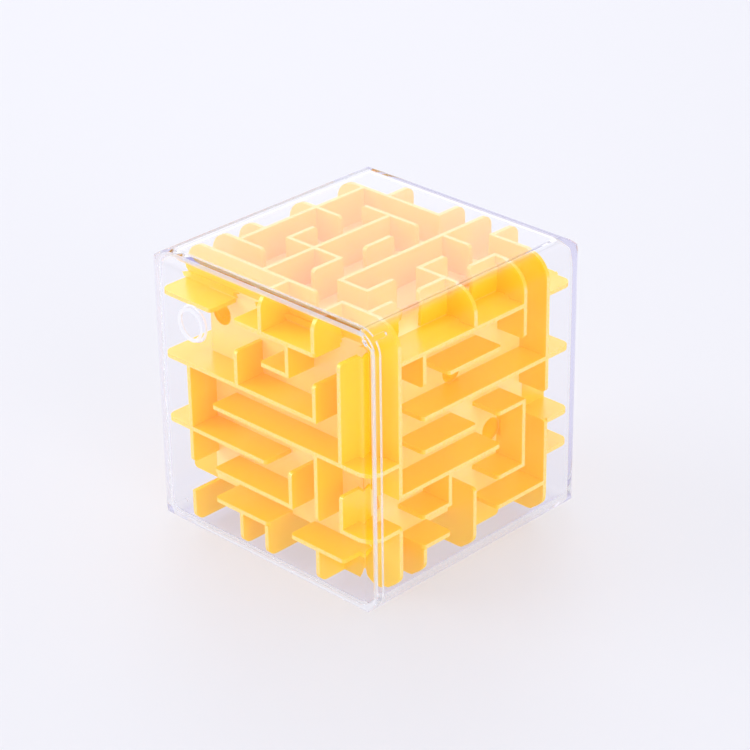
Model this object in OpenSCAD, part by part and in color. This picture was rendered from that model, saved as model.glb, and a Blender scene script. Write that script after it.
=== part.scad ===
// Ball maze cube: a clear case with a press-on front lid around a hollow core of six maze
// panels, three tunnels through the core and one steel ball.
// The front of the cube faces -Y. The origin is the middle of the case's underside.

/* [Case] */
// Thickness of the case walls
case_wall = 1.5; // [1.2:0.1:1.6]
// Radius of the four long edges, which run from front to back
long_edge_r = 4.6; // [4:0.1:5]
// Radius of the edges around the front and back faces
end_edge_r = 2.8; // [2.2:0.1:2.8]
// Depth of the lid, from the front face to the seam
lid_depth = 2.9; // [2.9:0.1:4]
// Radius of the ring that marks the start inside the lid, to the middle of its groove
start_ring_r = 3.3; // [2.8:0.1:3.6]

/* [Maze] */
// Width of one cell of the maze grid
pitch = 6.5; // [6.2:0.1:7]
// Height of the maze walls above their panels
wall_h = 6.3; // [5.6:0.1:6.5]
// Thickness of the maze walls
wall_t = 0.8; // [0.6:0.05:1]
// Thickness of the panels that the maze walls stand on
panel_t = 1; // [0.8:0.1:1]
// Radius of a wall's top corner where it ends freely
tip_r = 0.8; // [0.3:0.1:1.2]
// Radius of the corner of a wall that runs round one of the long edges
long_turn_r = 4.1; // [3.5:0.1:4.5]
// Radius of the corner of a wall that runs round a front or back edge
end_turn_r = 2; // [1.4:0.1:2.8]

/* [Ball] */
// Diameter of the steel ball
ball_d = 4; // [3.5:0.1:4.2]
// Clearance between the ball and a tunnel, all round
tunnel_play = 0.25; // [0.2:0.05:0.4]

/* [Hidden] */
$fn = 64;

// Maze grid: the core is six cells wide, and a ball's lane runs all round it
cells = 6;
edge = cells / 2;                       // grid line along the core's edge
rim = edge + 1;                         // grid line at the walls' tips, against the case
core_half = edge * pitch;
tip_half = core_half + wall_h;

// Case
case_gap = 0.2;
inner_half = tip_half + case_gap;
half = inner_half + case_wall;
case_size = 2 * half;
inner_edge_r = long_edge_r - case_wall;
inner_end_r = end_edge_r - case_wall;
seam_y = -half + lid_depth;
lap_half = half - case_wall / 2;        // where the lid's skirt overlaps the shell's tongue
lap_edge_r = long_edge_r - case_wall / 2;
lap_play = 0.05;
lap_length = 0.8;
tab_w = 0.9;
tab_length = 2.7;
start_groove_r = 0.3;

// Tunnels, each given by the place of its mouths in grid cells from the cube's middle
ball_r = ball_d / 2;
tunnel_r = ball_r + tunnel_play;
corner_tunnel = [-2.53, 2.35];          // x, z: from the front panel to the back panel
upper_tunnel = [0.07, 1.34];            // y, z: from the right panel to the left panel
lower_tunnel = [1.7, -1.1];             // y, z: from the right panel to the left panel
start_ring = [-2.6, 2.37];              // x, z: on the lid, about the front mouth
tube_wall = 0.6;
room_half = core_half - panel_t;        // half the room inside the core

// The ball rests on the lowest long shelf of the back panel
ball_play = 0.05;
ball_line = -2;
ball_cell_x = -0.75;

// Maze walls. Each is [line, from, to] in grid lines from the cube's middle. "posts" stand on
// lines of the panel's first axis and run along its second, and "rails" stand on lines of the
// second and run along the first. A wall that reaches the rim runs round the cube's edge.
// Top and bottom panels: x, then y. Front and back: x, then z. Left and right: y, then z.
top_posts = [[-3, -2, 3], [-2, -1, 0], [-2, 3, 4], [-1, -3, 2], [0, -4, -3], [0, -2, -1],
             [0, 0, 1], [0, 3, 4], [1, -2, 4], [2, -4, -3], [2, -2, -1], [2, 0, 1], [2, 3, 4],
             [3, -3, -2], [3, -1, 0], [3, 1, 2]];
top_rails = [[-3, -4, 1], [-3, 2, 4], [-2, -4, -2], [-2, 1, 2], [-1, -4, -3], [-1, -2, 0],
             [0, 2, 4], [1, -4, -2], [2, -2, 0], [2, 1, 2], [2, 3, 4], [3, -4, 0], [3, 2, 4]];
bottom_posts = [[-3, -4, -2], [-3, 0, 2], [-2, 0, 1], [-1, -4, -2], [-1, 2, 4], [0, -4, -2],
                [0, 0, 2], [1, -1, 1], [2, -4, -2], [2, 2, 4], [3, 1, 2]];
bottom_rails = [[-3, 2, 4], [-2, -2, -1], [-2, 2, 4], [-1, -4, 1], [0, -3, -2], [0, 2, 4],
                [1, -1, 0], [2, -4, -2], [2, 1, 2], [3, -2, 0], [3, 1, 4]];
front_posts = [[-3, -2, 1], [-1, 1, 2], [1, 2, 3], [1, -2, -1], [2, 1, 2], [2, -2, 0],
               [3, 0, 3], [3, -2, -1]];
front_rails = [[3, -4, -2], [3, -1, 2], [2, 0, 1], [1, -4, 2], [0, -2, 4], [-1, -4, 0],
               [-2, -2, 1], [-2, 3, 4], [-3, -2, 0], [-3, 1, 3]];
back_posts = [[-3, 0, 1], [-2, 1, 3], [-2, -2, -1], [-1, 0, 1], [0, 1, 2], [1, 1, 3],
              [1, -1, 0], [2, -3, -2], [3, -1, 1]];
back_rails = [[3, -3, -1], [3, 2, 4], [2, -4, -2], [2, -1, 0], [1, 1, 4], [0, -3, 0],
              [-1, -3, 1], [-1, 2, 4], [-2, -2, 4], [-3, -4, -1], [-3, 1, 2]];
right_posts = [[-3, -1, 3], [-3, -3, -2], [-2, 2, 3], [-1, -2, -1], [0, -3, -2], [2, 2, 3],
               [2, -2, 0], [3, 0, 3], [3, -3, -1]];
right_rails = [[3, -3, 2], [2, -1, 1], [1, -2, 3], [0, -2, 0], [0, 1, 2], [-1, -3, 1],
               [-2, -2, -1], [-2, 1, 2], [-3, -2, -1], [-3, 1, 3]];
left_posts = [[-3, -3, -1], [-2, -1, 1], [-1, 2, 3], [0, 0, 1], [1, 1, 3], [2, -1, 0],
              [3, 0, 1], [0, -3, -2]];
left_rails = [[3, -3, -1], [2, -2, 0], [2, 2, 3], [1, -3, 0], [0, 1, 3], [-1, -3, -2],
              [-1, -1, 1], [-2, -2, 2], [-3, -1, 3]];

yellow = [1, 0.72, 0.05];
clear = [0.85, 0.88, 0.95, 0.3];
steel = [0.75, 0.76, 0.78];

// ---- Case ----

// A square with round corners, in the XZ plane, drawn out from y_front to y_back
module case_bar(bar_half, corner_r, y_front, y_back) {
    flat = bar_half - corner_r;
    translate([0, y_back, 0])
    rotate([90, 0, 0])
    linear_extrude(y_back - y_front)
    union() {
        square([2 * bar_half, 2 * flat], center = true);
        square([2 * flat, 2 * bar_half], center = true);
        for (x = [-flat, flat], y = [-flat, flat])
            translate([x, y])
            circle(corner_r);
    }
}

// A rectangle in the XY plane with its front and back corners rounded
module rounded_section(section_half, y_front, y_back, front_r, back_r) {
    reach = section_half - max(front_r, back_r);
    translate([-reach, y_front])
    square([2 * reach, y_back - y_front]);
    translate([-section_half, y_front + front_r])
    square([2 * section_half, y_back - y_front - front_r - back_r]);
    for (side = [-1, 1]) {
        if (front_r > 0)
            translate([side * (section_half - front_r), y_front + front_r])
            circle(front_r);
        if (back_r > 0)
            translate([side * (section_half - back_r), y_back - back_r])
            circle(back_r);
    }
}

// A box with round long edges, and round edges about its front and back faces
module case_block(block_half, corner_r, y_front, y_back, front_r, back_r) {
    intersection() {
        case_bar(block_half, corner_r, y_front, y_back);
        translate([0, 0, -block_half])
        linear_extrude(2 * block_half)
        rounded_section(block_half, y_front, y_back, front_r, back_r);
        rotate([0, 90, 0])
        translate([0, 0, -block_half])
        linear_extrude(2 * block_half)
        rounded_section(block_half, y_front, y_back, front_r, back_r);
    }
}

// The whole outside of the closed case
module case_outside() {
    case_block(half, long_edge_r, -half, half, end_edge_r, end_edge_r);
}

// The room inside the shell, open at the front
module case_inside() {
    case_block(inner_half, inner_edge_r, -half, inner_half, 0, inner_end_r);
}

// Four round-ended tabs that key the lid's corners into the shell
module corner_tabs(play) {
    flat = half - long_edge_r;
    for (x = [-1, 1], z = [-1, 1])
        translate([x * flat, seam_y, z * flat])
        rotate([0, -z * (90 - x * 45), 0])
        translate([lap_edge_r, 0, 0])
        rotate([0, 90, 0])
        linear_extrude(case_wall)
        union() {
            translate([-tab_w / 2 - play, -lid_depth / 3])
            square([tab_w + 2 * play, lid_depth / 3 + tab_length - tab_w / 2]);
            translate([0, tab_length - tab_w / 2])
            circle(tab_w / 2 + play);
        }
}

module case_shell() {
    color(clear)
    translate([0, 0, half])
    difference() {
        union() {
            intersection() {
                case_outside();
                translate([-half, seam_y, -half])
                cube(case_size);
            }
            case_bar(lap_half - lap_play, lap_edge_r - lap_play, seam_y - lap_length, seam_y);
        }
        case_inside();
        corner_tabs(lap_play);
    }
}

module case_lid() {
    color(clear)
    translate([0, 0, half])
    difference() {
        union() {
            intersection() {
                case_outside();
                translate([-half, -half, -half])
                cube([case_size, lid_depth, case_size]);
            }
            intersection() {
                case_outside();
                corner_tabs(0);
            }
        }
        case_block(inner_half, inner_edge_r, -inner_half, half, inner_end_r, 0);
        case_bar(lap_half, lap_edge_r, seam_y - lap_length - lap_play, half);
        translate([start_ring[0] * pitch, -inner_half, start_ring[1] * pitch])
        rotate([90, 0, 0])
        rotate_extrude()
        translate([start_ring_r, 0])
        circle(start_groove_r);
    }
}

// ---- Maze walls ----

// Middle of a wall that stands on a grid line: the edge lines' walls are flush with the core
function line_at(line) =
    abs(line) == edge ? sign(line) * (core_half - wall_t / 2) : line * pitch;

// Where a wall ends: past a grid line by half its thickness, or at the core's edge or the rim
function end_at(line, way) =
    abs(line) == rim ? sign(line) * tip_half
    : abs(line) == edge ? sign(line) * core_half
    : line * pitch + way * wall_t / 2;

// True where one of the crossing walls passes through the end of a wall on a line
function crossed(crossing, line, end) =
    len([for (w = crossing) if (w[0] == end && w[1] <= line && line <= w[2]) w]) > 0;

// Lines on which a panel's walls reach the rim at one end, and so run on to the next panel
function rim_lines(walls, end) = [for (w = walls) if (w[1] == end || w[2] == end) w[0]];

function holds(list, value) = len([for (item = list) if (item == value) item]) > 0;

// Radius of the top corner at one end of a wall
function corner_at(crossing, onward, turn_r, line, end) =
    abs(end) == rim ? turn_r
    : abs(end) == edge && holds(onward, line) ? 0
    : crossed(crossing, line, end) ? 0 : tip_r;

// One end of a wall's side view, with its top corner rounded
module wall_end(corner_r) {
    square([corner_r, wall_h - corner_r]);
    translate([0, wall_h - corner_r])
    intersection() {
        square(corner_r);
        translate([corner_r, 0])
        circle(corner_r);
    }
}

// A wall's side view: a strip from a to b with its two top corners rounded
module wall_outline(a, b, a_r, b_r) {
    translate([a + a_r, 0])
    square([b - a - a_r - b_r, wall_h]);
    if (a_r > 0)
        translate([a, 0])
        wall_end(a_r);
    if (b_r > 0)
        translate([b, 0])
        mirror([1, 0])
        wall_end(b_r);
}

// Walls that run along X at each line of Y. A wall that reaches the rim has a corner of turn_r.
// The walls of the next panels that these run on to, at their low and high ends, are listed by
// line in low_on and high_on.
module walls(runs, crossing, turn_r, low_on, high_on) {
    for (w = runs)
        translate([0, line_at(w[0]) + wall_t / 2, 0])
        rotate([90, 0, 0])
        linear_extrude(wall_t)
        wall_outline(end_at(w[1], -1), end_at(w[2], 1),
                     corner_at(crossing, low_on, turn_r, w[0], w[1]),
                     corner_at(crossing, high_on, turn_r, w[0], w[2]));
}

// A square plate with mitred edges, its outer face at z = 0
module mitred_plate() {
    along_each_axis = [[90, 0, 0], [90, 0, 90]];
    intersection_for (turn = along_each_axis)
        rotate(turn)
        linear_extrude(2 * core_half, center = true)
        polygon([[-core_half, 0], [core_half, 0], [room_half, -panel_t], [-room_half, -panel_t]]);
}

// A panel lying flat, with its first axis along X, its second along Y and its walls upwards.
// low_x, high_x, low_y and high_y list the lines that run on to the panels beside it.
module flat_panel(posts, rails, rail_turn_r, low_x = [], high_x = [], low_y = [], high_y = []) {
    mitred_plate();
    walls(rails, posts, rail_turn_r, low_x, high_x);
    mirror([1, -1, 0])
    walls(posts, rails, end_turn_r, low_y, high_y);
}

// Cylinder that cuts a tunnel's mouth through a flat panel, at a place given in grid cells
module mouth(place) {
    translate([place[0] * pitch, place[1] * pitch, -2 * panel_t])
    cylinder(h = 3 * panel_t, r = tunnel_r);
}

// Each side of the core, from a flat panel
module on_top() {
    translate([0, 0, half + core_half])
    children();
}

module on_bottom() {
    translate([0, 0, half - core_half])
    mirror([0, 0, 1])
    children();
}

module on_front() {
    translate([0, -core_half, half])
    rotate([90, 0, 0])
    children();
}

module on_back() {
    translate([0, core_half, half])
    mirror([0, 1, 0])
    rotate([90, 0, 0])
    children();
}

module on_right() {
    translate([core_half, 0, half])
    rotate([90, 0, 90])
    children();
}

module on_left() {
    translate([-core_half, 0, half])
    mirror([1, 0, 0])
    rotate([90, 0, 90])
    children();
}

module maze_panel_top() {
    color(yellow)
    on_top()
    flat_panel(top_posts, top_rails, long_turn_r);
}

module maze_panel_bottom() {
    color(yellow)
    on_bottom()
    flat_panel(bottom_posts, bottom_rails, long_turn_r);
}

module maze_panel_front() {
    color(yellow)
    on_front()
    difference() {
        flat_panel(front_posts, front_rails, end_turn_r,
                   low_y = rim_lines(bottom_posts, -rim), high_y = rim_lines(top_posts, -rim));
        mouth(corner_tunnel);
    }
}

module maze_panel_back() {
    color(yellow)
    on_back()
    difference() {
        flat_panel(back_posts, back_rails, end_turn_r,
                   low_y = rim_lines(bottom_posts, rim), high_y = rim_lines(top_posts, rim));
        mouth(corner_tunnel);
    }
}

module maze_panel_right() {
    color(yellow)
    on_right()
    difference() {
        flat_panel(right_posts, right_rails, end_turn_r,
                   low_x = rim_lines(front_rails, rim), high_x = rim_lines(back_rails, rim),
                   low_y = rim_lines(bottom_rails, rim), high_y = rim_lines(top_rails, rim));
        mouth(upper_tunnel);
        mouth(lower_tunnel);
    }
}

module maze_panel_left() {
    color(yellow)
    on_left()
    difference() {
        flat_panel(left_posts, left_rails, end_turn_r,
                   low_x = rim_lines(front_rails, -rim), high_x = rim_lines(back_rails, -rim),
                   low_y = rim_lines(bottom_rails, -rim), high_y = rim_lines(top_rails, -rim));
        mouth(upper_tunnel);
        mouth(lower_tunnel);
    }
}

// ---- Inside the core ----

// A tube from the left panel to the right one, joining two mouths
module tunnel_tube(place) {
    color(yellow)
    translate([0, place[0] * pitch, half + place[1] * pitch])
    rotate([0, 90, 0])
    difference() {
        cylinder(h = 2 * room_half, r = tunnel_r + tube_wall, center = true);
        cylinder(h = 3 * room_half, r = tunnel_r, center = true);
    }
}

module tunnel_tube_upper() {
    tunnel_tube(upper_tunnel);
}

module tunnel_tube_lower() {
    tunnel_tube(lower_tunnel);
}

// An angle that closes off the core's upper left corner, as a duct from front to back
module tunnel_corner_duct() {
    inner_x = corner_tunnel[0] * pitch + tunnel_r + ball_play;
    inner_z = corner_tunnel[1] * pitch - tunnel_r - ball_play;
    leg_t = 0.8;
    color(yellow)
    translate([0, room_half, half])
    rotate([90, 0, 0])
    linear_extrude(2 * room_half)
    polygon([[-room_half, inner_z - leg_t], [inner_x + leg_t, inner_z - leg_t],
             [inner_x + leg_t, room_half], [inner_x, room_half],
             [inner_x, inner_z], [-room_half, inner_z]]);
}

// The ball, lying on its shelf midway between the core and the case
module steel_ball() {
    color(steel)
    translate([ball_cell_x * pitch, (core_half + inner_half) / 2,
               half + ball_line * pitch + wall_t / 2 + ball_r + ball_play])
    sphere(r = ball_r);
}

case_shell();
case_lid();
maze_panel_top();
maze_panel_bottom();
maze_panel_front();
maze_panel_back();
maze_panel_left();
maze_panel_right();
tunnel_tube_upper();
tunnel_tube_lower();
tunnel_corner_duct();
steel_ball();
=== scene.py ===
"""Looks of the ball maze cube: a clear case around a yellow maze core, on a pale table."""

import math

import bmesh
import bpy
from mathutils import Matrix, Vector

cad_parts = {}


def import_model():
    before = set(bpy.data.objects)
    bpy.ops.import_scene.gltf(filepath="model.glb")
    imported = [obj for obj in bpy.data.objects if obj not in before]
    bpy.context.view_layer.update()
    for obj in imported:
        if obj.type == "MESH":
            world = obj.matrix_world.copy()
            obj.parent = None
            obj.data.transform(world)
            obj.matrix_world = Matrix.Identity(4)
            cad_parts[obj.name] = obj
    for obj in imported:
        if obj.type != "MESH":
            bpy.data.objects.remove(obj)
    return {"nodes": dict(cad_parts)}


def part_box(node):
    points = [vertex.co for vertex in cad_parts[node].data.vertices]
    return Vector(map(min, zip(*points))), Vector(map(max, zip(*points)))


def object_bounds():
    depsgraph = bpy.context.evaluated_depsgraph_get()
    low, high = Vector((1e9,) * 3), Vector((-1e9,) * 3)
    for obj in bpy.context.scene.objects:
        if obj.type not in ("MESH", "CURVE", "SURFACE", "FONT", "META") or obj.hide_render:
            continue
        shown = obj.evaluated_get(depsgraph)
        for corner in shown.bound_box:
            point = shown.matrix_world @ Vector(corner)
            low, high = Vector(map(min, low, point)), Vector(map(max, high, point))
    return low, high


MM = 0.001

MAZE_PARTS = [
    "maze_panel_top",
    "maze_panel_bottom",
    "maze_panel_front",
    "maze_panel_back",
    "maze_panel_left",
    "maze_panel_right",
    "tunnel_tube_upper",
    "tunnel_tube_lower",
    "tunnel_corner_duct",
]
CASE_PARTS = ["case_shell", "case_lid"]
BALLS = ["steel_ball"]

# Case, as it is built
CELLS_ACROSS_CASE = 8.46
CASE_WALL = 1.5 * MM
LONG_EDGE_R = 4.6 * MM
LAP_LENGTH = 0.8 * MM
START_RING_R = 3.3 * MM
START_RING_HALF_WIDTH = 0.32 * MM
# x and z of the ring's middle, in maze cells from the lid's middle
START_RING_CELLS = (-2.6, 2.37)


# ---- Building a material ----


class MaterialGraph:
    """A material with one principled shader, and short ways to build the nodes that feed it."""

    def __init__(self, name):
        self.material = bpy.data.materials.new(name)
        self.material.use_nodes = True
        self.nodes = self.material.node_tree.nodes
        self.links = self.material.node_tree.links
        self.nodes.clear()
        self.shader = self.nodes.new("ShaderNodeBsdfPrincipled")
        self.output = self.nodes.new("ShaderNodeOutputMaterial")
        self.place = self.nodes.new("ShaderNodeTexCoord").outputs["Object"]
        self.give(self.output.inputs["Surface"], self.shader.outputs["BSDF"])

    def give(self, socket, value):
        """Links another node's result to a socket, or sets the socket to a plain value."""
        if isinstance(value, bpy.types.NodeSocket):
            self.links.new(value, socket)
        else:
            socket.default_value = value

    def shade(self, name, value):
        """Sets one of the shader's inputs."""
        self.give(self.shader.inputs[name], value)

    def math(self, operation, *values):
        """The result of one operation on numbers or other nodes' results."""
        node = self.nodes.new("ShaderNodeMath")
        node.operation = operation
        for socket, value in zip(node.inputs, values):
            self.give(socket, value)
        return node.outputs[0]

    def vector_math(self, operation, first, second):
        node = self.nodes.new("ShaderNodeVectorMath")
        node.operation = operation
        self.give(node.inputs[0], first)
        self.give(node.inputs[1], second)
        return node

    def split(self, vector):
        """A vector's x, y and z."""
        node = self.nodes.new("ShaderNodeSeparateXYZ")
        self.give(node.inputs["Vector"], vector)
        return node.outputs["X"], node.outputs["Y"], node.outputs["Z"]

    def from_middle(self, middle):
        """|x|, y and z from the cube's middle, in metres."""
        shifted = self.vector_math("SUBTRACT", self.place, middle)
        x, y, z = self.split(shifted.outputs["Vector"])
        return self.math("ABSOLUTE", x), y, z

    def between(self, value, low, high):
        """1 where a value lies between low and high, and 0 elsewhere."""
        above = self.math("GREATER_THAN", value, low)
        below = self.math("LESS_THAN", value, high)
        return self.math("MULTIPLY", above, below)

    def ramp(self, value, span, results=(0.0, 1.0)):
        """Goes smoothly from the first result to the second as a value crosses a span."""
        node = self.nodes.new("ShaderNodeMapRange")
        node.interpolation_type = "SMOOTHSTEP"
        low, high = span
        at_low, at_high = results
        self.give(node.inputs["Value"], value)
        self.give(node.inputs["From Min"], low)
        self.give(node.inputs["From Max"], high)
        self.give(node.inputs["To Min"], at_low)
        self.give(node.inputs["To Max"], at_high)
        return node.outputs["Result"]

    def blend(self, factor, first, second):
        """Mixes two colours by a factor."""
        node = self.nodes.new("ShaderNodeMix")
        node.data_type = "RGBA"
        self.give(node.inputs["Factor"], factor)
        ends = [socket for socket in node.inputs if socket.type == "RGBA"]
        for socket, value in zip(ends, (first, second)):
            self.give(socket, value)
        return next(socket for socket in node.outputs if socket.type == "RGBA")

    def noise(self, scale, detail=2.0, stretch=(1, 1, 1), roughness=0.5):
        """Cloudy noise around 0.5. Its scale is per metre."""
        mapping = self.nodes.new("ShaderNodeMapping")
        self.give(mapping.inputs["Vector"], self.place)
        self.give(mapping.inputs["Scale"], stretch)
        texture = self.nodes.new("ShaderNodeTexNoise")
        self.give(texture.inputs["Vector"], mapping.outputs["Vector"])
        self.give(texture.inputs["Scale"], scale)
        self.give(texture.inputs["Detail"], detail)
        self.give(texture.inputs["Roughness"], roughness)
        return texture.outputs["Fac"]

    def bump(self, height, distance, strength):
        node = self.nodes.new("ShaderNodeBump")
        self.give(node.inputs["Height"], height)
        self.give(node.inputs["Distance"], distance)
        self.give(node.inputs["Strength"], strength)
        return node.outputs["Normal"]


def dress(names, material, nodes):
    for name in names:
        for slot in nodes[name].material_slots:
            slot.material = material


# ---- Maze plastic: colours are linear ----

YELLOW = (1.0, 0.65, 0.006, 1.0)
SHADE_AND_CLOUD_AMBER = (1.0, 0.60, 0.002, 1.0)
PAINTED_LIGHT_PEACH = (1.0, 0.84, 0.36, 1.0)
CREAM = (1.0, 0.74, 0.26, 1.0)
GLOW = (1.0, 0.34, 0.0, 1.0)
FAINT_GLOW = (0.34, 0.16, 0.012, 1.0)
GLOW_STRENGTH = 0.45

# Painted shade: amber fades into yellow between these heights over the panels' faces.
AMBER_TO = -0.5 * MM
YELLOW_FROM = 3.5 * MM
# Painted light: the panels' faces are made pale by this much, within this tolerance of them.
FACE_TOLERANCE = 0.05 * MM
FACE_PALENESS = 0.85
# The tunnels' glow fades between these depths under the panels' faces.
TUNNEL_GLOW_FROM = 0.9 * MM
TUNNEL_GLOW_TO = 0.1 * MM
# The walls' tips turn cream: not at all at the first depth under them, and fully at the second.
TIP_FROM = 0.12 * MM
TIP_TO = 0.02 * MM
TIP_ROUGHER = 0.25

CLOUD_SCALE = 90
CLOUD_SPAN = (0.35, 0.75)
CLOUD_AMOUNT = 0.10
STREAK_SCALE = 700
STREAK_STRETCH = (1, 1, 0.06)
STREAK_SPAN = (0.5, 0.8)
STREAK_AMOUNT = 0.10
GRAIN_SCALE = 2600
TIP_SPECKLE_SPAN = (0.3, 0.65)
LEAST_TIP_SPECKLE = 0.35
GLOSS_SCALE = 420
GLOSS_SPAN = (0.3, 0.7)
MAZE_ROUGHNESS = (0.28, 0.32)
GRAIN_RELIEF = 0.35
MAZE_RELIEF = 0.006 * MM
MAZE_RELIEF_STRENGTH = 0.4

SCATTER_WEIGHT = 0.35
SCATTER_RADII = (1.0, 0.45, 0.08)
SCATTER_SCALE = 1.1 * MM
MAZE_IOR = 1.85


def far_axis(graph, middle):
    """The largest of |x|, |y| and |z| from the cube's middle, in metres."""
    across, along, height = graph.from_middle(middle)
    level = graph.math("MAXIMUM", across, graph.math("ABSOLUTE", along))
    return graph.math("MAXIMUM", level, graph.math("ABSOLUTE", height))


def maze_plastic(middle, core_half, tip_half):
    """Warm yellow moulded plastic: painted shade in amber at the walls' feet, painted light that
    makes the panels' faces pale, and cream at the walls' thin tips."""
    graph = MaterialGraph("maze_yellow_plastic")
    reach = far_axis(graph, middle)
    cloud = graph.noise(CLOUD_SCALE, detail=3)
    streaks = graph.noise(STREAK_SCALE, stretch=STREAK_STRETCH)
    grain = graph.noise(GRAIN_SCALE)

    # Painted shade: amber low on the walls, at their feet. Amber also comes in as random cloudy
    # tone.
    height = graph.ramp(reach, (core_half + AMBER_TO, core_half + YELLOW_FROM))
    body = graph.blend(height, SHADE_AND_CLOUD_AMBER, YELLOW)
    body = graph.blend(graph.ramp(cloud, CLOUD_SPAN, (0.0, CLOUD_AMOUNT)), body, SHADE_AND_CLOUD_AMBER)
    body = graph.blend(graph.ramp(streaks, STREAK_SPAN, (0.0, STREAK_AMOUNT)), body, CREAM)
    # Painted light: the lit panels' faces turn pale peach.
    on_face = graph.between(reach, core_half - FACE_TOLERANCE, core_half + FACE_TOLERANCE)
    body = graph.blend(graph.math("MULTIPLY", on_face, FACE_PALENESS), body, PAINTED_LIGHT_PEACH)
    at_tip = graph.ramp(reach, (tip_half - TIP_FROM, tip_half - TIP_TO))
    tip_speckle = graph.ramp(grain, TIP_SPECKLE_SPAN, (LEAST_TIP_SPECKLE, 1.0))
    graph.shade("Base Color", graph.blend(graph.math("MULTIPLY", at_tip, tip_speckle), body, CREAM))

    roughness = graph.ramp(graph.noise(GLOSS_SCALE, detail=3), GLOSS_SPAN, MAZE_ROUGHNESS)
    rougher = graph.math("MULTIPLY", at_tip, TIP_ROUGHER)
    graph.shade("Roughness", graph.math("ADD", roughness, rougher))
    relief = graph.math("ADD", graph.math("MULTIPLY", grain, GRAIN_RELIEF), streaks)
    graph.shade("Normal", graph.bump(relief, MAZE_RELIEF, MAZE_RELIEF_STRENGTH))

    graph.shade("Subsurface Weight", SCATTER_WEIGHT)
    graph.shade("Subsurface Radius", SCATTER_RADII)
    graph.shade("Subsurface Scale", SCATTER_SCALE)
    graph.shade("IOR", MAZE_IOR)

    # Painted light: stands in for light that filters through the thin panels into the tunnels.
    # Elsewhere a fainter glow stands in for light scattered in the plastic.
    glow_fades = (core_half - TUNNEL_GLOW_FROM, core_half - TUNNEL_GLOW_TO)
    inside = graph.ramp(reach, glow_fades, (1.0, 0.0))
    graph.shade("Emission Color", graph.blend(inside, FAINT_GLOW, GLOW))
    graph.shade("Emission Strength", GLOW_STRENGTH)
    return graph.material


# ---- Clear case plastic ----

CLEAR = (0.985, 0.985, 1.0, 1.0)
CLEAR_ON_TOP = (0.80, 0.80, 0.83, 1.0)
LAVENDER = (0.72, 0.70, 0.97, 1.0)
FROST = (0.95, 0.95, 0.98, 1.0)
EDGE_TINT = (0.82, 0.80, 0.95, 1.0)
NO_TINT = (1.0, 1.0, 1.0, 1.0)
WEAK_MIRROR = (0.06, 0.06, 0.08, 1.0)
CASE_IOR = 1.36
FROST_HIDES = 0.8

EVEN_FACING = 0.5
GRAZING_SPAN = (0.70, 0.97)
LEVEL_SPAN = (0.9, 0.995)
SQUARE_TO_Y = 0.9
SMEAR_SCALE = 60
SMEAR_STRETCH = (1, 1, 0.5)
SMEAR_SPAN = (0.45, 0.8)
SMEAR_ROUGHNESS = 0.04
FLOW_SCALE = 45
FLOW_STRETCH = (1, 0.35, 1)
FLOW_RELIEF = 0.05 * MM
FLOW_STRENGTH = 0.25

# Light that is still in the case's walls at its fifth bounce is let out.
BOUNCES_BEFORE_LET_OUT = 4.5
# Depths under the case's outer surface, and how far the joint runs past its own length
END_FACE_FROM = 0.02 * MM
END_FACE_TO = 1.9 * MM
SKIRT_FROM = 0.2 * MM
SKIRT_SHORT_OF_INNER_FACE = 0.05 * MM
JOINT_TOLERANCE = 0.1 * MM
END_FACE_OPENNESS = 0.5


def out_of_outline(graph, across, up, half):
    """The distance of a point from the case's rounded outline as seen along y, in metres. It is
    less than 0 inside the outline."""
    flat = half - LONG_EDGE_R
    over_across = graph.math("SUBTRACT", across, flat)
    over_up = graph.math("SUBTRACT", up, flat)
    square_across = graph.math("POWER", graph.math("MAXIMUM", over_across, 0.0), 2.0)
    square_up = graph.math("POWER", graph.math("MAXIMUM", over_up, 0.0), 2.0)
    round_part = graph.math("SQRT", graph.math("ADD", square_across, square_up))
    flat_part = graph.math("MINIMUM", graph.math("MAXIMUM", over_across, over_up), 0.0)
    return graph.math("SUBTRACT", graph.math("ADD", round_part, flat_part), LONG_EDGE_R)


def lid_joint(graph, across, along, up, half, seam_along, normal_y):
    """Where lid and shell meet: their end faces, and the lap of the lid's skirt and the shell's
    tongue between them."""
    out = out_of_outline(graph, across, up, half)
    in_joint = graph.between(along, seam_along - LAP_LENGTH - JOINT_TOLERANCE, 0.0)
    is_end = graph.math("GREATER_THAN", graph.math("ABSOLUTE", normal_y), SQUARE_TO_Y)
    in_end = graph.between(out, -END_FACE_TO, -END_FACE_FROM)
    end_face = graph.math("MULTIPLY", graph.math("MULTIPLY", is_end, in_end), in_joint)
    in_lap = graph.between(out, SKIRT_SHORT_OF_INNER_FACE - CASE_WALL, -SKIRT_FROM)
    in_lap = graph.math("MULTIPLY", in_lap, in_joint)
    lap = graph.math("MULTIPLY", in_lap, graph.math("SUBTRACT", 1.0, end_face))
    return end_face, lap


def start_ring(graph, ring_middle):
    """1 in the round groove that marks the start, and 0 elsewhere."""
    away = graph.vector_math("DISTANCE", graph.place, ring_middle).outputs["Value"]
    low = START_RING_R - START_RING_HALF_WIDTH
    high = START_RING_R + START_RING_HALF_WIDTH
    return graph.between(away, low, high)


def top_faces(graph, normal_z, height):
    """1 on the case's level upper faces, and 0 elsewhere."""
    level = graph.ramp(graph.math("ABSOLUTE", normal_z), LEVEL_SPAN)
    return graph.math("MULTIPLY", level, graph.math("GREATER_THAN", height, 0.0))


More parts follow.
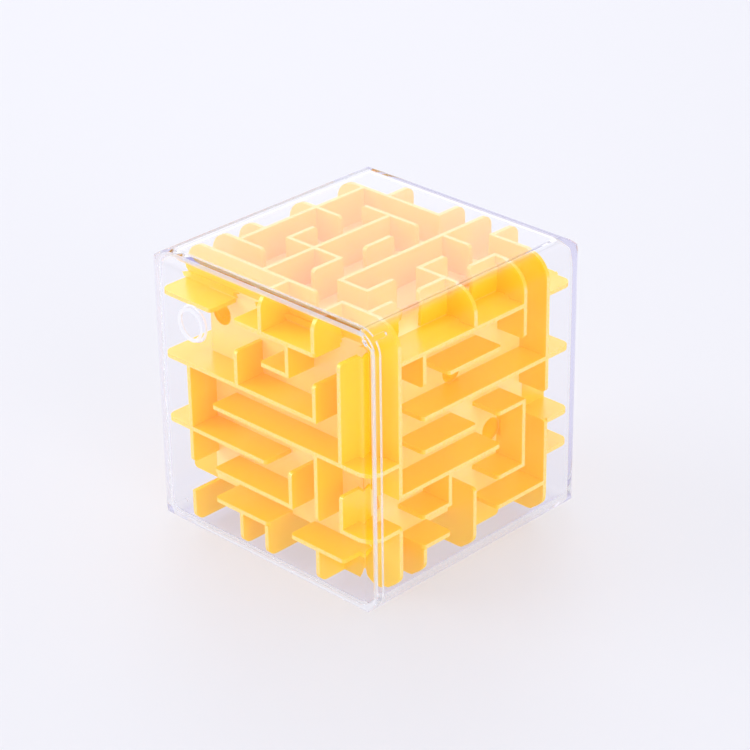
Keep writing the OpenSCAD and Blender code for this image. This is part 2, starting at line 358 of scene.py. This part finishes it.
def lit_through(graph, open_too):
    """Lets the lamps' light and the light between pieces straight through the shader, and all
    light where open_too is 1. Light that is caught in a wall gets out after some bounces."""
    path = graph.nodes.new("ShaderNodeLightPath")
    passes = graph.math("MAXIMUM", path.outputs["Is Shadow Ray"], path.outputs["Is Diffuse Ray"])
    caught = graph.math("GREATER_THAN", path.outputs["Ray Depth"], BOUNCES_BEFORE_LET_OUT)
    passes = graph.math("MAXIMUM", passes, caught)
    straight = graph.nodes.new("ShaderNodeBsdfTransparent")
    # Painted reflection: caught light comes out lavender, as lines along the case's edges.
    graph.give(straight.inputs["Color"], graph.blend(caught, NO_TINT, EDGE_TINT))
    mix = graph.nodes.new("ShaderNodeMixShader")
    graph.give(mix.inputs["Fac"], graph.math("MAXIMUM", passes, open_too))
    graph.give(mix.inputs[1], graph.shader.outputs["BSDF"])
    graph.give(mix.inputs[2], straight.outputs["BSDF"])
    graph.give(graph.output.inputs["Surface"], mix.outputs["Shader"])


def clear_plastic(middle, half, seam_along, ring_middle):
    """Clear moulded plastic, with faint flow marks that break up what it reflects."""
    graph = MaterialGraph("clear_case_plastic")
    across, along, height = graph.from_middle(middle)
    up = graph.math("ABSOLUTE", height)
    geometry = graph.nodes.new("ShaderNodeNewGeometry")
    _, normal_y, normal_z = graph.split(geometry.outputs["True Normal"])
    facing = graph.nodes.new("ShaderNodeLayerWeight")
    facing.inputs["Blend"].default_value = EVEN_FACING
    grazing = graph.ramp(facing.outputs["Facing"], GRAZING_SPAN)
    graph.shade("IOR", CASE_IOR)

    # Painted reflection and shade: the top is made to mirror more and let less through than the
    # upright faces do.
    on_top = top_faces(graph, normal_z, height)
    graph.shade("Specular Tint", graph.blend(on_top, WEAK_MIRROR, NO_TINT))
    body = graph.blend(on_top, CLEAR, CLEAR_ON_TOP)
    # Painted reflection: the case turns lavender where it is seen edge-on, as lines along its
    # rounded edges.
    body = graph.blend(grazing, body, LAVENDER)

    smears = graph.noise(SMEAR_SCALE, detail=4, stretch=SMEAR_STRETCH)
    graph.shade("Roughness", graph.ramp(smears, SMEAR_SPAN, (0.0, SMEAR_ROUGHNESS)))
    flow = graph.noise(FLOW_SCALE, stretch=FLOW_STRETCH)
    graph.shade("Normal", graph.bump(flow, FLOW_RELIEF, FLOW_STRENGTH))

    # The start ring is frosted, and so are the end faces where lid and shell meet. Where skirt
    # and tongue touch, they are one piece to the light.
    end_face, lap = lid_joint(graph, across, along, up, half, seam_along, normal_y)
    frosted = graph.math("MAXIMUM", start_ring(graph, ring_middle), end_face)
    graph.shade("Base Color", graph.blend(frosted, body, FROST))
    clearness = graph.math("MULTIPLY_ADD", frosted, -FROST_HIDES, 1.0)
    graph.shade("Transmission Weight", clearness)
    half_open = graph.math("MULTIPLY", end_face, END_FACE_OPENNESS)
    lit_through(graph, graph.math("ADD", lap, half_open))
    return graph.material


# ---- Ball steel ----

STEEL = (0.62, 0.63, 0.66, 1.0)
BRIGHT_STEEL = (0.72, 0.72, 0.73, 1.0)
TONE_SCALE = 500
TONE_SPAN = (0.3, 0.7)
TONE_AMOUNT = 0.5
SCUFF_SCALE = 2400
SCUFF_STRETCH = (1, 0.2, 1)
SCUFF_BREAK_UP = 0.7
SCUFF_SPAN = (0.45, 0.75)
BALL_ROUGHNESS = (0.06, 0.24)
SCUFF_RELIEF = 0.004 * MM
SCUFF_STRENGTH = 0.4


def ball_metal():
    """Polished bearing steel with faint rolling scuffs."""
    graph = MaterialGraph("ball_polished_steel")
    scuffs = graph.noise(SCUFF_SCALE, detail=4, stretch=SCUFF_STRETCH, roughness=SCUFF_BREAK_UP)
    tone = graph.ramp(graph.noise(TONE_SCALE), TONE_SPAN, (0.0, TONE_AMOUNT))
    graph.shade("Metallic", 1.0)
    graph.shade("Base Color", graph.blend(tone, STEEL, BRIGHT_STEEL))
    graph.shade("Roughness", graph.ramp(scuffs, SCUFF_SPAN, BALL_ROUGHNESS))
    graph.shade("Normal", graph.bump(scuffs, SCUFF_RELIEF, SCUFF_STRENGTH))
    return graph.material


# ---- Camera: distances are in maze cells from the cube's middle ----

AZIMUTH = math.radians(44.41)
ELEVATION = math.radians(27.05)
ROLL = math.radians(-0.76)
DISTANCE = 66.34
LOOKED_AT = Vector((4.90, -4.71, 3.62))
LENS_MM = 126.6
SENSOR_MM = 36.0
NEAREST_SEEN = 0.01
FARTHEST_SEEN = 20.0


def make_camera(middle, cell):
    data = bpy.data.cameras.new("camera")
    camera = bpy.data.objects.new("camera", data)
    bpy.context.collection.objects.link(camera)
    data.lens = LENS_MM
    data.sensor_width = SENSOR_MM
    data.clip_start = NEAREST_SEEN
    data.clip_end = FARTHEST_SEEN
    back = Vector((
        math.sin(AZIMUTH) * math.cos(ELEVATION),
        -math.cos(AZIMUTH) * math.cos(ELEVATION),
        math.sin(ELEVATION),
    ))
    level = Vector((math.cos(AZIMUTH), math.sin(AZIMUTH), 0.0))
    upright = back.cross(level)
    right = level * math.cos(ROLL) + upright * math.sin(ROLL)
    up = upright * math.cos(ROLL) - level * math.sin(ROLL)
    place = middle + (LOOKED_AT + back * DISTANCE) * cell
    camera.matrix_world = Matrix((
        (right.x, up.x, back.x, place.x),
        (right.y, up.y, back.y, place.y),
        (right.z, up.z, back.z, place.z),
        (0, 0, 0, 1),
    ))
    bpy.context.scene.camera = camera


# ---- Table, lights and surroundings: lengths in metres, powers in watts ----

FLOOR = (0.33, 0.325, 0.335, 1.0)
FLOOR_GLOW = (0.49, 0.495, 0.54, 1.0)
FLOOR_ROUGHNESS = 0.55
TABLE_HALF_WIDTH = 3.0
TABLE_FRONT = -1.5
TABLE_FLAT_TO = 0.5
SWEEP_R = 0.6
SWEEP_STEPS = 24
TABLE_TOP = 2.5
SKY = (0.93, 0.94, 1.0, 1.0)
SKY_STRENGTH = 0.70

# Name, place, width, height and power. The back one is mirrored in the case's top.
SOFTBOXES = [
    ("softbox_top", (-0.15, 0.25, 0.75), 0.7, 0.7, 1.1),
    ("softbox_left", (-0.55, -0.45, 0.35), 0.5, 0.5, 2.2),
    ("softbox_right", (0.65, -0.15, 0.3), 0.3, 0.5, 1.4),
    ("softbox_back", (-0.58, 0.59, 0.48), 0.5, 0.4, 0.8),
]


def table_surface():
    """The pale, slightly lavender table, which glows a little."""
    graph = MaterialGraph("table_surface")
    graph.shade("Base Color", FLOOR)
    graph.shade("Roughness", FLOOR_ROUGHNESS)
    graph.shade("Emission Color", FLOOR_GLOW)
    graph.shade("Emission Strength", 1.0)
    return graph.material


def table_profile():
    """The table from its front to its top edge, as distances away from the camera and heights:
    flat under the cube, then a quarter turn up to a straight wall."""
    profile = [(TABLE_FRONT, 0.0), (TABLE_FLAT_TO, 0.0)]
    for step in range(1, SWEEP_STEPS + 1):
        turn = math.pi / 2 * step / SWEEP_STEPS
        away = TABLE_FLAT_TO + SWEEP_R * math.sin(turn)
        profile.append((away, SWEEP_R * (1 - math.cos(turn))))
    profile.append((TABLE_FLAT_TO + SWEEP_R, TABLE_TOP))
    return profile


def make_table():
    """A wide sheet that carries the table's profile from side to side."""
    mesh = bpy.data.meshes.new("table")
    shape = bmesh.new()
    back = Vector((-math.sin(AZIMUTH), math.cos(AZIMUTH), 0.0))
    side = Vector((math.cos(AZIMUTH), math.sin(AZIMUTH), 0.0))
    rows = []
    for away, height in table_profile():
        row = []
        for way in (-1, 1):
            place = back * away + side * way * TABLE_HALF_WIDTH
            place.z = height
            row.append(shape.verts.new(place))
        rows.append(row)
    for low, high in zip(rows, rows[1:]):
        shape.faces.new((low[0], low[1], high[1], high[0]))
    shape.to_mesh(mesh)
    shape.free()
    for polygon in mesh.polygons:
        polygon.use_smooth = True
    table = bpy.data.objects.new("table", mesh)
    bpy.context.collection.objects.link(table)
    table.data.materials.append(table_surface())


def make_softbox(name, place, width, height, power, aim):
    data = bpy.data.lights.new(name, "AREA")
    data.shape = "RECTANGLE"
    data.size = width
    data.size_y = height
    data.energy = power
    light = bpy.data.objects.new(name, data)
    light.location = place
    light.rotation_mode = "QUATERNION"
    light.rotation_quaternion = (aim - Vector(place)).to_track_quat("-Z", "Y")
    bpy.context.collection.objects.link(light)


def make_world():
    world = bpy.data.worlds.new("studio")
    world.use_nodes = True
    background = world.node_tree.nodes["Background"]
    background.inputs["Color"].default_value = SKY
    background.inputs["Strength"].default_value = SKY_STRENGTH
    bpy.context.scene.world = world


def make_stage(middle, cell):
    make_table()
    make_world()
    for softbox in SOFTBOXES:
        make_softbox(*softbox, aim=middle)
    make_camera(middle, cell)
    bpy.context.scene.view_settings.view_transform = "Standard"


# ---- Whole scene ----


def dress_parts(nodes, low, high, middle, cell):
    core_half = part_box("maze_panel_front")[1].z - middle.z
    tip_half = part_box("maze_panel_top")[1].x
    seam_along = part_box("case_shell")[0].y + LAP_LENGTH - middle.y
    ring_x, ring_z = START_RING_CELLS
    inner_y = low.y + CASE_WALL
    ring_middle = Vector((middle.x + ring_x * cell, inner_y, middle.z + ring_z * cell))
    dress(MAZE_PARTS, maze_plastic(middle, core_half, tip_half), nodes)
    dress(CASE_PARTS, clear_plastic(middle, high.x, seam_along, ring_middle), nodes)
    dress(BALLS, ball_metal(), nodes)


def main():
    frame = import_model()
    cad_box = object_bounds()
    low, high = cad_box
    middle = (low + high) / 2
    cell = (high.x - low.x) / CELLS_ACROSS_CASE
    dress_parts(frame["nodes"], low, high, middle, cell)
    make_stage(middle, cell)


main()
